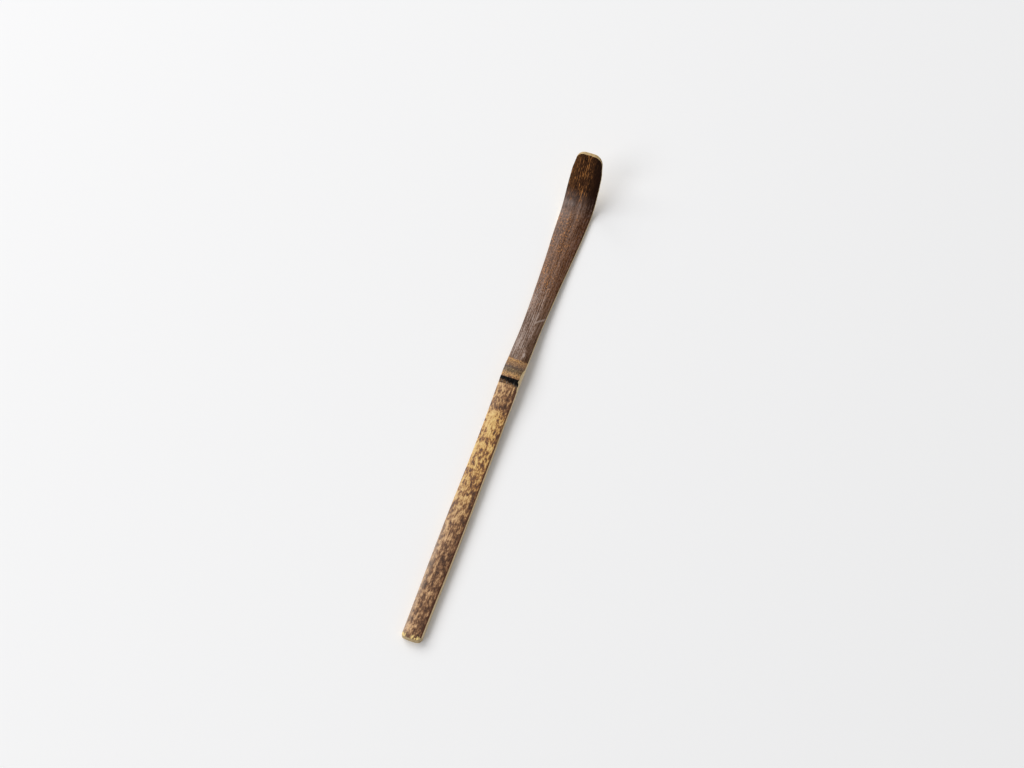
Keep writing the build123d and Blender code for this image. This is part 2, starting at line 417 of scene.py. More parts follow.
def carve(size):
    # bends a lattice box into a layer of the strip
    start, end = size["span"]
    isWood = size["layer"] == "wood"
    shell = latticeBox(size["rows"], size["columns"], size["layers"])
    place = shell.verts.layers.float_vector.new("strip")
    rim = shell.verts.layers.float.new("edge")
    gripEnd, tipEnd = start <= 0, end >= skin.length
    for face in shell.faces:
        ends = [abs(face.calc_center_median().x - wall) < 1e-5 for wall in (0, 1)]
        face.material_index = 1 if (ends[0] and gripEnd) or (ends[1] and tipEnd) else 0
    for vert in shell.verts:
        along = start + (end - start) * crowded(vert.co.x, gripEnd, tipEnd)
        side = math.sin(math.pi * (vert.co.y - 0.5))
        sink = vert.co.z
        half, shift = eased(halfWidths, along), eased(shifts, along)
        thickness = woodThickness(along)
        across = side * half
        # the layer's roof and floor, measured up from the skin's crown
        sideways = (across + shift) ** 2
        arc = math.sqrt(culm["radius"] ** 2 - sideways) - culm["radius"]
        inner = math.sqrt((culm["radius"] - culm["rind"]) ** 2 - sideways) - culm["radius"]
        gap = half - abs(across)
        gripSide = cutEnds["gripLeft"] if side > 0 else cutEnds["gripRight"]
        tipSide = cutEnds["tipLeft"] if side > 0 else cutEnds["tipRight"]
        gripFall, gripSlope = endFall(across, half, cutEnds["gripBow"], gripSide)
        tipFall, tipSlope = endFall(across, half, cutEnds["tipBow"], tipSide)
        toTip = skin.length - along
        gripGap = along / math.sqrt(1 + gripSlope**2)
        tipGap = toTip / math.sqrt(1 + tipSlope**2)
        gap = min(gap, gripGap, tipGap)
        vert[rim] = gap / mm
        if isWood:
            roof = inner
            floor = -thickness + rolled(gap, culm["lowerEdge"])
        else:
            crown = arc + skinRelief(along, across)
            roof = crown - rolled(gap, culm["skinEdge"])
            floor = inner
        height = roof + (floor - roof) * sink
        if isWood:
            height += woodRelief(along, across, sink, side)
        tall = skin.at(along)[0].y + height
        flare = culm["sideFlare"] * (1 - tall / skinLine["gripThickness"])
        flare *= max(1 - along / widest, 0.0)
        across = across * (1 + flare / half) + shift
        if isWood and sink > 0.5:
            lift = abs(across) - culm["facetHalfWidth"]
            lift -= max(along - culm["facetLength"], 0.0) * culm["facetSlope"]
            height = max(height, softLift(lift) - thickness)
        # both ends: the rows follow the cut's outline, and straighten out away from it
        bevel = cutEnds["tipBevel"] * max(1 + height / skinLine["tipThickness"], 0.0)
        where = along + gripFall * (1 - softStep(along, 0, cutEnds["ease"]))
        where -= (tipFall + bevel) * (1 - softStep(toTip, 0, cutEnds["ease"]))
        spot, heading = skin.at(where)
        back, up = math.sin(heading) * height, math.cos(heading) * height
        point = Vector((spot.x - back, across, spot.y + up))
        cut = pared(point)
        depth = (arc if isWood else crown) - height + (cut - point).length
        vert[place] = Vector((where, across, depth)) / mm
        vert.co = cut + home
    bmesh.ops.recalc_face_normals(shell, faces=shell.faces)
    return shell


def softLift(lift):
    # a facet's lift above the underside, with its crest a little worn
    return (lift + math.sqrt(lift**2 + culm["wornCrest"] ** 2)) / 2


def woodRelief(along, across, sink, side):
    # strokes of the plane and the knife on the carved faces
    return ripples(along, across, toolStrokes) * sink * (1 - abs(side) ** 6)


def finishPiece(name, size, nodes, materials):
    shell = carve(size)
    mesh = bpy.data.meshes.new(name)
    shell.to_mesh(mesh)
    shell.free()
    for polygon in mesh.polygons:
        polygon.use_smooth = True
    mesh.set_sharp_from_angle(angle=culm["sharpAngle"])
    for material in materials:
        mesh.materials.append(material)
    piece = bpy.data.objects.new(name, mesh)
    bpy.context.scene.collection.objects.link(piece)
    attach(piece, "root")
    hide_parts(*nodes)
    print("carved", name, len(mesh.polygons), "faces")


# Materials


def linear(red, green, blue):
    # a colour as a picture editor shows it, 0 to 255, as the shader wants it
    parts = [part / 255 for part in (red, green, blue)]
    parts = [part / 12.92 if part < 0.04 else ((part + 0.055) / 1.055) ** 2.4 for part in parts]
    return (*parts, 1.0)


class Wire:
    # a shader socket that takes Python arithmetic
    def __init__(self, finish, socket):
        self.finish, self.socket = finish, socket

    def maths(self, operation, *values):
        return self.finish.add("ShaderNodeMath", dict(operation=operation), dict(enumerate(values)))

    def __add__(self, other):
        return self.maths("ADD", self, other)

    def __radd__(self, other):
        return self.maths("ADD", other, self)

    def __sub__(self, other):
        return self.maths("SUBTRACT", self, other)

    def __rsub__(self, other):
        return self.maths("SUBTRACT", other, self)

    def __mul__(self, other):
        return self.maths("MULTIPLY", self, other)

    def __rmul__(self, other):
        return self.maths("MULTIPLY", other, self)

    def __truediv__(self, other):
        return self.maths("DIVIDE", self, other)

    def __rtruediv__(self, other):
        return self.maths("DIVIDE", other, self)

    def clamped(self):
        return self.finish.add("ShaderNodeClamp", {}, {"Value": self})


class Finish:
    # a material, with the one method that adds its nodes
    def __init__(self, name, roughness, specular=0.5, coatRoughness=0.3):
        self.material = bpy.data.materials.new(name)
        self.material.use_nodes = True
        self.tree = self.material.node_tree
        self.shader = self.tree.nodes["Principled BSDF"]
        self.shader.inputs["Roughness"].default_value = roughness
        self.shader.inputs["Specular IOR Level"].default_value = specular
        self.shader.inputs["Coat Roughness"].default_value = coatRoughness

    def add(self, kind, settings, sockets, output=0):
        made = self.tree.nodes.new(kind)
        for key, value in settings.items():
            if key == "stops":
                self.setStops(made.color_ramp, value)
            else:
                setattr(made, key, value)
        for key, value in sockets.items():
            if isinstance(value, Wire):
                self.tree.links.new(value.socket, made.inputs[key])
            else:
                made.inputs[key].default_value = value
        return Wire(self, made.outputs[output])

    def setStops(self, ramp, stops):
        while len(ramp.elements) < len(stops):
            ramp.elements.new(1.0)
        for element, (position, colour) in zip(ramp.elements, stops):
            element.position = position
            element.color = colour if isinstance(colour, tuple) else (colour, colour, colour, 1.0)

    def strip(self):
        # along, across and depth in millimetres, and the three as one vector
        vector = self.add("ShaderNodeAttribute", dict(attribute_name="strip"), {}, "Vector")
        sockets = {"Vector": vector}
        parts = [self.add("ShaderNodeSeparateXYZ", {}, sockets, index) for index in range(3)]
        return parts, vector

    def edge(self):
        # millimetres in from the outline of the skin
        return self.add("ShaderNodeAttribute", dict(attribute_name="edge"), {}, "Fac")

    def place(self, vector, size, seed):
        # for marks of a given length, width and depth in millimetres, each seed in another spot
        scale = [1 / side for side in size]
        sockets = {"Vector": vector, "Location": (seed, seed * 1.7, 0), "Scale": scale}
        return self.add("ShaderNodeMapping", {}, sockets)

    def grain(self, vector, size, seed, detail=3.0, roughness=0.5):
        # cloudy pattern, 0 to 1
        place = self.place(vector, size, seed)
        sockets = {"Vector": place, "Scale": 1.0, "Detail": detail, "Roughness": roughness}
        return self.add("ShaderNodeTexNoise", {}, sockets)

    def spots(self, vector, size, seed):
        # distance from the nearest of many scattered points, 0 at a point
        sockets = {"Vector": self.place(vector, size, seed), "Scale": 1.0}
        return self.add("ShaderNodeTexVoronoi", {}, sockets)

    def between(self, value, low, high):
        # 0 below low, 1 above high, smooth between
        sockets = {"Value": value, "From Min": low, "From Max": high}
        return self.add("ShaderNodeMapRange", dict(interpolation_type="SMOOTHSTEP"), sockets)

    def ramp(self, value, low, high, stops):
        # a colour that changes with a value, its stops given as values
        share = (value - low) / (high - low)
        places = [((stop - low) / (high - low), colour) for stop, colour in stops]
        return self.add("ShaderNodeValToRGB", dict(stops=places), {"Fac": share})

    def mix(self, share, first, second):
        # the second colour over the first; these are the numbers of the node's colour sockets
        sockets = {0: share, 6: first, 7: second}
        return self.add("ShaderNodeMix", dict(data_type="RGBA"), sockets, 2)

    def bump(self, height, distance):
        return self.add("ShaderNodeBump", {}, {"Height": height, "Distance": distance})

    def finish(self, **wires):
        for name, wire in wires.items():
            self.tree.links.new(wire.socket, self.shader.inputs[name.replace("_", " ")])
        return self.material


# the pale flesh of the culm wall
flesh = dict(
    # roughness and specular level, along the fibres and across them
    cutSurface=(0.55, 0.4),
    endSurface=(0.6, 0.35),
    pale=linear(234, 212, 172),
    warm=linear(216, 186, 138),
    fibre=linear(172, 136, 92),
    nearSkin=linear(224, 190, 120),
    handled=linear(150, 116, 76),
    endPale=linear(206, 184, 140),
    endWarm=linear(178, 146, 98),
    endDot=linear(92, 68, 44),
    # patterns: size of the marks, seed, and for clouds their detail and roughness
    tone=((26, 0.7, 0.7), 2.0),
    thread=((12, 0.11, 0.11), 7.0, 2.0),
    swirl=((1.6, 1.0, 1.0), 61.0, 3.0, 0.6),
    rough=((3, 0.3, 0.3), 11.0),
    bundles=((9, 0.3, 0.24), 4.0),
    fineBundles=((9, 0.15, 0.12), 9.0),
    endTone=((4, 1.2, 0.8), 5.0),
    # the cut-offs in them
    warmIn=(0.35, 0.7),
    threadIn=(0.56, 0.68),
    swirlIn=(0.42, 0.6),
    tanIn=(0.3, 0.6),
    bundleIn=(0.18, 0.42),
    fineBundleIn=(0.2, 0.5),
    endWarmIn=(0.3, 0.7),
    # where the fibres swirl and how far they stray there
    swirlAt=95.5,
    swirlStray=5,
    swirlDepth=(1.0, 2.0),
    # where the tan on the left side comes and goes
    tanFrom=(0.8, 2.6),
    tanTo=(148, 162),
    tanAcross=(0.8, 1.8),
    tanEdge=(0.05, 0.4),
    # how deep under the skin it is yellower, and the finer bundles reach
    nearSkinDepth=(0.2, 0.75),
    fineBundleDepth=(0.15, 1.3),
    threadShare=0.5,
    nearSkinShare=0.55,
    bundleShare=0.5,
    fineBundleShare=0.6,
    relief=0.03 * mm,
)


def cutFlesh(finish):
    # colour and height of flesh cut along its fibres
    (along, across, depth), vector = finish.strip()
    tone = finish.grain(vector, *flesh["tone"])
    thread = finish.grain(vector, *flesh["thread"])
    colour = finish.mix(finish.between(tone, *flesh["warmIn"]), flesh["pale"], flesh["warm"])
    threads = finish.between(thread, *flesh["threadIn"]) * flesh["threadShare"]
    colour = finish.mix(threads, colour, flesh["fibre"])
    yellow = (1 - finish.between(depth, *flesh["nearSkinDepth"])) * flesh["nearSkinShare"]
    colour = finish.mix(yellow, colour, flesh["nearSkin"])
    # the fibres swirl and darken under the node
    swirl = finish.grain(vector, *flesh["swirl"])
    offset = along - flesh["swirlAt"] + (swirl - 0.5) * flesh["swirlStray"]
    swirled = 1 - finish.between(offset * offset, 2, 14)
    swirled = swirled * finish.between(depth, *flesh["swirlDepth"])
    swirled = swirled * (finish.between(swirl, *flesh["swirlIn"]) * 0.5 + 0.2)
    colour = finish.mix(swirled, colour, flesh["fibre"])
    # the left side, where the fingers close on it, has tanned
    tanned = 1 - finish.between(finish.edge(), *flesh["tanEdge"])
    tanned = tanned * finish.between(across, *flesh["tanAcross"])
    tanned = tanned * finish.between(along, *flesh["tanFrom"])
    tanned = tanned * (1 - finish.between(along, *flesh["tanTo"]))
    tanned = tanned * (finish.between(tone, *flesh["tanIn"]) * 0.3 + 0.55)
    colour = finish.mix(tanned, colour, flesh["handled"])
    return colour, thread


def fleshFinish():
    finish = Finish("bambooFlesh", *flesh["cutSurface"])
    colour, thread = cutFlesh(finish)
    vector = finish.strip()[1]
    rough = finish.grain(vector, *flesh["rough"]) * 0.2 + 0.45
    relief = finish.bump(thread, flesh["relief"])
    return finish.finish(Base_Color=colour, Roughness=rough, Normal=relief)


def endGrainFinish():
    finish = Finish("bambooEndGrain", *flesh["endSurface"])
    (along, across, depth), vector = finish.strip()
    dots = finish.spots(vector, *flesh["bundles"])
    fineDots = finish.spots(vector, *flesh["fineBundles"])
    nearSkin = 1 - finish.between(depth, *flesh["fineBundleDepth"])
    dot = 1 - finish.between(dots, *flesh["bundleIn"])
    fineDot = (1 - finish.between(fineDots, *flesh["fineBundleIn"])) * nearSkin
    dotted = (dot * flesh["bundleShare"] + fineDot * flesh["fineBundleShare"]).clamped()
    tone = finish.between(finish.grain(vector, *flesh["endTone"]), *flesh["endWarmIn"])
    colour = finish.mix(tone, flesh["endPale"], flesh["endWarm"])
    colour = finish.mix(dotted, colour, flesh["endDot"])
    relief = finish.bump(dots, flesh["relief"])
    return finish.finish(Base_Color=colour, Normal=relief)


def skinOverFlesh(finish, skinColour, depth, deep=0.1):
    # the skin's colour where it is whole, and cut flesh past its worn edge
    fleshColour = cutFlesh(finish)[0]
    return finish.mix(finish.between(depth, deep, deep + 0.05), skinColour, fleshColour)


# the ragged borders that two skins share: their patterns, how ragged and how slanting they are
borders = dict(
    soot=((1.2, 0.5, 2), 18.0, 3.0, 0.6),
    sootRagged=2.2,
    sootSlant=0.18,
    smoke=((0.9, 0.45, 4), 55.0, 3.0, 0.6),
    smokeRagged=2.4,
    smokeSlant=0.07,
    smokeFrom=(100.75, 101.05),
)


def sootPlace(finish, along, across, vector):
    # millimetres along the strip, as the ragged lower edge of the scar counts them
    ragged = finish.grain(vector, *borders["soot"])
    place = along + (ragged - 0.5) * borders["sootRagged"] - across * borders["sootSlant"]
    return place, ragged


def smokeLine(finish, along, across, vector):
    # 0 on the node and 1 on the smoked skin, with a ragged line between
    ragged = finish.grain(vector, *borders["smoke"])
    place = along + (ragged - 0.5) * borders["smokeRagged"] - across * borders["smokeSlant"]
    return finish.between(place, *borders["smokeFrom"])


# the mottled skin of the lower internode
mottled = dict(
    # roughness and specular level
    surface=(0.4, 0.22),
    # light to dark, at the grip and in the golden part
    gripTones=[
        (0.28, linear(212, 172, 128)),
        (0.40, linear(178, 138, 98)),
        (0.50, linear(134, 96, 66)),
        (0.58, linear(104, 72, 50)),
        (0.72, linear(68, 44, 30)),
    ],
    goldTones=[
        (0.28, linear(224, 190, 124)),
        (0.42, linear(205, 162, 98)),
        (0.49, linear(172, 122, 68)),
        (0.56, linear(120, 82, 54)),
        (0.72, linear(78, 54, 42)),
    ],
    # how dark the skin runs along the grip
    stain=[
        (0, 0.46),
        (8, 0.485),
        (30, 0.485),
        (40, 0.455),
        (58, 0.45),
        (65, 0.42),
        (79, 0.41),
        (83, 0.485),
        (91, 0.425),
    ],
    paleTan=linear(204, 180, 156),
    # the deep red-brown of the painted shade along the right edge
    edge=linear(74, 36, 18),
    worn=linear(232, 202, 132),
    gap=linear(84, 56, 36),
    soot=linear(50, 36, 28),
    # patterns: size of the marks, seed, detail and roughness
    wash=((10, 3.4, 9), 3.0, 2.0),
    blotch=((2.4, 1.1, 4), 1.0, 3.0, 0.6),
    speck=((0.95, 0.46, 4), 6.0, 2.0, 0.6),
    thread=((6, 0.16, 4), 13.0, 3.0, 0.6),
    scratch=((16, 0.1, 4), 51.0, 1.0),
    rub=((1.6, 0.7, 4), 45.0, 2.0),
    # the cut-offs in them
    paleStripIn=(0.35, 0.6),
    scratchIn=(0.6, 0.68),
    rubIn=(0.45, 0.54),
    sootIn=(0.42, 0.56),
    # how strongly the first four stain it, and how strongly the rest shows
    shares=(0.3, 1.15, 0.6, 0.35),
    rightShare=0.12,
    goldEndShare=0.8,
    paleStripShare=0.55,
    scratchShare=0.6,
    rimShare=0.85,
    gapShare=0.5,
    sootShare=0.8,
    # where each comes and goes along the strip
    goldFrom=(32, 64),
    goldTo=(79, 84),
    paleStripTo=(30, 48),
    scratchTo=(6, 11),
    wornTo=(0.9, 1.7),
    sootFrom=(90.7, 91.9),
    # and across it, the rim also in from the edge
    rightAcross=(1.5, -3.4),
    paleStripAcross=(1.4, 3.1),
    scratchAcross=(0.6, 1.2),
    unwornAt=0.9,
    rimAcross=(0.0, -1.5),
    rimEdge=(0.15, 0.75),
    glossAcross=(-3.2, 2.6),
    # how far the gold's lower border strays
    goldStray=16,
    relief=0.03 * mm,
)


def mottledFinish():
    finish = Finish("mottledSkin", *mottled["surface"])
    (along, across, depth), vector = finish.strip()
    edge = finish.edge()
    wash = finish.grain(vector, *mottled["wash"])
    blotch = finish.grain(vector, *mottled["blotch"])
    speck = finish.grain(vector, *mottled["speck"])
    thread = finish.grain(vector, *mottled["thread"])
    stain = finish.ramp(along, 0, 92, mottled["stain"])
    for marks, share in zip((wash, blotch, speck, thread), mottled["shares"]):
        stain = stain + (marks - 0.5) * share
    # partly painted shade, partly the skin's own colour: darker towards the right, the side away
    # from the light
    stain = stain + finish.between(across, *mottled["rightAcross"]) * mottled["rightShare"]
    atGrip = finish.ramp(stain, 0, 1, mottled["gripTones"])
    atGold = finish.ramp(stain, 0, 1, mottled["goldTones"])
    golden = finish.between(along + (wash - 0.5) * mottled["goldStray"], *mottled["goldFrom"])
    goldEnds = finish.between(along, *mottled["goldTo"]) * mottled["goldEndShare"]
    colour = finish.mix(golden * (1 - goldEnds), atGrip, atGold)
    # a paler strip on the left of the grip, and long scratches near the end
    paleStrip = finish.between(across, *mottled["paleStripAcross"])
    paleStrip = paleStrip * (1 - finish.between(along, *mottled["paleStripTo"]))
    paleStrip = paleStrip * finish.between(thread, *mottled["paleStripIn"])
    colour = finish.mix(paleStrip * mottled["paleStripShare"], colour, mottled["paleTan"])
    scratch = finish.between(finish.grain(vector, *mottled["scratch"]), *mottled["scratchIn"])
    scratch = scratch * finish.between(across, *mottled["scratchAcross"])
    scratch = scratch * (1 - finish.between(along, *mottled["scratchTo"]))
    colour = finish.mix(scratch * mottled["scratchShare"], colour, mottled["paleTan"])
    # painted shade: the right edge, where the skin turns away from the light, is darkened deep
    # red-brown
    rim = 1 - finish.between(edge, *mottled["rimEdge"])
    rim = rim * finish.between(across, *mottled["rimAcross"])
    colour = finish.mix(rim * mottled["rimShare"], colour, mottled["edge"])
    # the end edge is rubbed through in spots
    nearEnd = 1 - finish.between(along, *mottled["wornTo"])
    colour = finish.mix(nearEnd * mottled["gapShare"], colour, mottled["gap"])
    beside = (across - mottled["unwornAt"]) * (across - mottled["unwornAt"])
    rubbed = finish.between(finish.grain(vector, *mottled["rub"]), *mottled["rubIn"])
    rubbed = rubbed * finish.between(beside, 0.5, 1.4)
    colour = finish.mix(nearEnd * rubbed, colour, mottled["worn"])
    sooty = finish.between(sootPlace(finish, along, across, vector)[0], *mottled["sootFrom"])
    sooty = sooty * finish.between(speck, *mottled["sootIn"])
    colour = finish.mix(sooty * mottled["sootShare"], colour, mottled["soot"])
    colour = skinOverFlesh(finish, colour, depth)
    rough = speck * 0.2 + thread * 0.15 + 0.24
    relief = finish.bump(thread * 0.6 + speck * 0.3 + stain * 0.4, mottled["relief"])
    gloss = finish.between(across, *mottled["glossAcross"]) * 0.3 + 0.05
    return finish.finish(Base_Color=colour, Roughness=rough, Coat_Weight=gloss, Normal=relief)


# the black scar of the sheath
scar = dict(
    # roughness and specular level
    surface=(0.55, 0.08),
    black=linear(9, 7, 6),
    soot=linear(58, 46, 38),
    grey=linear(150, 138, 126),
    brown=linear(132, 98, 66),
    fleck=((0.55, 0.34, 2), 15.0, 3.0, 0.6),
    sootIn=(0.42, 0.58),
    greyIn=(0.6, 0.68),
    charredFrom=(91.8, 92.4),
    ashTo=(92.5, 92.9),
    # how far down its cut edge it is charred
    charDepth=0.3,
    relief=0.06 * mm,
)


def scarFinish():
    finish = Finish("scarSkin", *scar["surface"])
    (along, across, depth), vector = finish.strip()
    fleck = finish.grain(vector, *scar["fleck"])
    # brown and grey below, black from the groove up, further down on the right
    place, ragged = sootPlace(finish, along, across, vector)
    charred = finish.between(place, *scar["charredFrom"])
    low = finish.mix(finish.between(fleck, *scar["sootIn"]), scar["brown"], scar["soot"])
    low = finish.mix(finish.between(fleck, *scar["greyIn"]), low, scar["grey"])
    colour = finish.mix(charred, low, scar["black"])
    ash = finish.between(ragged, *scar["greyIn"]) * (1 - finish.between(along, *scar["ashTo"]))
    colour = finish.mix(ash, colour, scar["grey"])
    colour = skinOverFlesh(finish, colour, depth, scar["charDepth"])
    relief = finish.bump(fleck, scar["relief"])
    return finish.finish(Base_Color=colour, Normal=relief)


# the tan node
nodeTones = dict(
    # roughness and specular level
    surface=(0.46, 0.25),
    # along the strip
    bands=[
        (93.8, linear(96, 56, 34)),
        (94.2, linear(194, 144, 90)),
        (94.8, linear(206, 158, 98)),
        (95.5, linear(164, 124, 76)),
        (96.0, linear(118, 96, 62)),
        (96.9, linear(112, 90, 60)),
        (97.3, linear(88, 68, 54)),
        (97.9, linear(94, 72, 60)),
        (98.3, linear(144, 108, 76)),
        (99.6, linear(158, 118, 80)),
        (100.2, linear(190, 142, 84)),
        (100.7, linear(176, 128, 76)),
    ],
    speck=linear(78, 54, 40),
    light=linear(214, 180, 130),
    line=linear(62, 46, 38),
    smoke=linear(92, 68, 52),
    waves=((1.4, 0.8, 3), 19.0, 3.0, 0.6),
    dashes=((0.3, 0.55, 3), 27.0, 2.0, 0.6),
    specks=((0.5, 0.3, 3), 23.0, 3.0, 0.6),
    # the cut-offs in them, and how strongly each shows
    lightIn=(0.53, 0.6),
    lightShare=0.5,
    speckIn=(0.48, 0.55),
    speckShare=0.8,
    lineIn=(0.42, 0.52),
    lineShare=0.75,
    darkLines=(96.15, 97.5),
    rightAcross=(0.5, -3.4),
    rightShare=0.28,
    glossAcross=(-3.2, 2.6),
    gloss=0.2,
    relief=0.05 * mm,
)


def nodeFinish():
    finish = Finish("nodeSkin", *nodeTones["surface"])
    (along, across, depth), vector = finish.strip()
    wave = finish.grain(vector, *nodeTones["waves"])
    dash = finish.grain(vector, *nodeTones["dashes"])
    speck = finish.grain(vector, *nodeTones["specks"])
    wavy = along + (wave - 0.5) * 2.2 + (dash - 0.5) * 1.6
    colour = finish.ramp(wavy, 93.5, 101, nodeTones["bands"])
    light = finish.between(dash, *nodeTones["lightIn"]) * nodeTones["lightShare"]
    colour = finish.mix(light, colour, nodeTones["light"])
    specks = finish.between(speck, *nodeTones["speckIn"]) * nodeTones["speckShare"]
    colour = finish.mix(specks, colour, nodeTones["speck"])
    # dashed dark lines run across it
    for middle in nodeTones["darkLines"]:
        offset = along + (wave - 0.5) * 1.2 - middle
        line = 1 - finish.between(offset * offset, 0.01, 0.05)
        line = line * finish.between(dash, *nodeTones["lineIn"])
        colour = finish.mix(line * nodeTones["lineShare"], colour, nodeTones["line"])
    shade = finish.between(across, *nodeTones["rightAcross"]) * nodeTones["rightShare"]
    colour = finish.mix(shade, colour, nodeTones["speck"])
    colour = finish.mix(smokeLine(finish, along, across, vector), colour, nodeTones["smoke"])
    colour = skinOverFlesh(finish, colour, depth)
    relief = finish.bump(speck + dash, nodeTones["relief"])
    gloss = finish.between(across, *nodeTones["glossAcross"]) * nodeTones["gloss"]
    return finish.finish(Base_Color=colour, Coat_Weight=gloss, Normal=relief)


# the smoked skin of the upper internode
smoked = dict(
    # roughness, specular level and the coat's roughness
    surface=(0.42, 0.06, 0.34),
    # along the middle, and along the right side, whose darker colour is partly painted shade
    middle=[
        (100.7, linear(122, 94, 74)),
        (108, linear(118, 92, 76)),
        (118, linear(114, 86, 68)),
        (128, linear(116, 84, 64)),
        (142, linear(114, 78, 54)),
        (152, linear(100, 68, 48)),
        # painted sheen: this lighter stop, where the bend starts
        (160, linear(108, 76, 56)),
        (165, linear(84, 53, 34)),
        (169, linear(75, 46, 27)),
        (182, linear(67, 40, 21)),
    ],
    right=[
        (100.7, linear(84, 58, 40)),
        (118, linear(94, 68, 50)),
        (130, linear(94, 60, 37)),
        (150, linear(81, 46, 25)),
        (160, linear(68, 37, 18)),
        (166, linear(44, 21, 9)),
        (172, linear(36, 16, 6)),
        (182, linear(40, 19, 8)),
    ],
    # pale lilac grey, for the pale fibres, the painted sheen on the left near the node, and the
    # bare fleck and scuff
    lilac=linear(186, 168, 158),
    dark=linear(46, 28, 18),
    tar=linear(24, 11, 5),
    orange=linear(196, 134, 78),
    ember=linear(206, 138, 76),
    seam=linear(58, 34, 22),
    node=linear(178, 132, 82),
    # patterns: size of the marks, seed, detail and roughness
    clouds=((5, 1.5, 6), 29.0, 3.0, 0.6),
    streaks=((8, 0.33, 4), 33.0, 3.0, 0.62),
    grit=((0.9, 0.3, 4), 37.0, 2.0, 0.65),
    grains=((0.8, 0.36, 4), 41.0, 2.0, 0.6),
    embers=((3.4, 0.28, 4), 47.0, 2.0, 0.6),
    # the cut-offs in them, and how strongly each shows
    darkIn=(0.48, 0.38),
    darkShare=0.75,
    tarIn=(0.53, 0.42),
    tarShare=0.85,
    silverIn=(0.5, 0.59),
    orangeIn=(0.57, 0.65),
    emberIn=(0.59, 0.67),
    emberShare=0.7,
    leftShare=0.06,
    fleckShare=0.6,
    scuffShare=0.35,
    seamShare=0.45,
    rimShare=0.6,
    # where each comes and goes along the strip
    wideFrom=(134, 156),
    bladeFrom=(163, 168),
    dashesFrom=(118, 132),
    sheenPatchTo=(116, 138),
    orangeFrom=(116, 134),
    orangeTo=(158, 164),
    embersFrom=(161, 167),
    seamFrom=(102, 122),
    seamTo=(158, 166),
    shineFrom=(158, 162),
    shineTo=(166, 170),
    glossTo=(158, 163),
    # and across it, the rim also in from the edge
    sheenPatchAcross=(-1.7, -0.3),
    orangeAcross=(-2.6, 0.2),
    emberAcross=(-3.6, -0.6),
    leftAcross=(2.2, 4.2),
    scuffAcross=(-0.4, -0.8),
    rimAcross=(0.0, -1.5),
    rimEdge=(0.12, 0.5),
    shineAcross=(-4.4, 0.6),
    glossAcross=(-3.4, 3.0),
    # where the seam lies across, and the fleck and the scuff along and across
    seamAt=-0.15,
    fleckAt=(103.3, -1.15),
    fleckSize=(1.0, 0.42),
    scuffAt=(116.2, -0.6),
    relief=0.05 * mm,
)


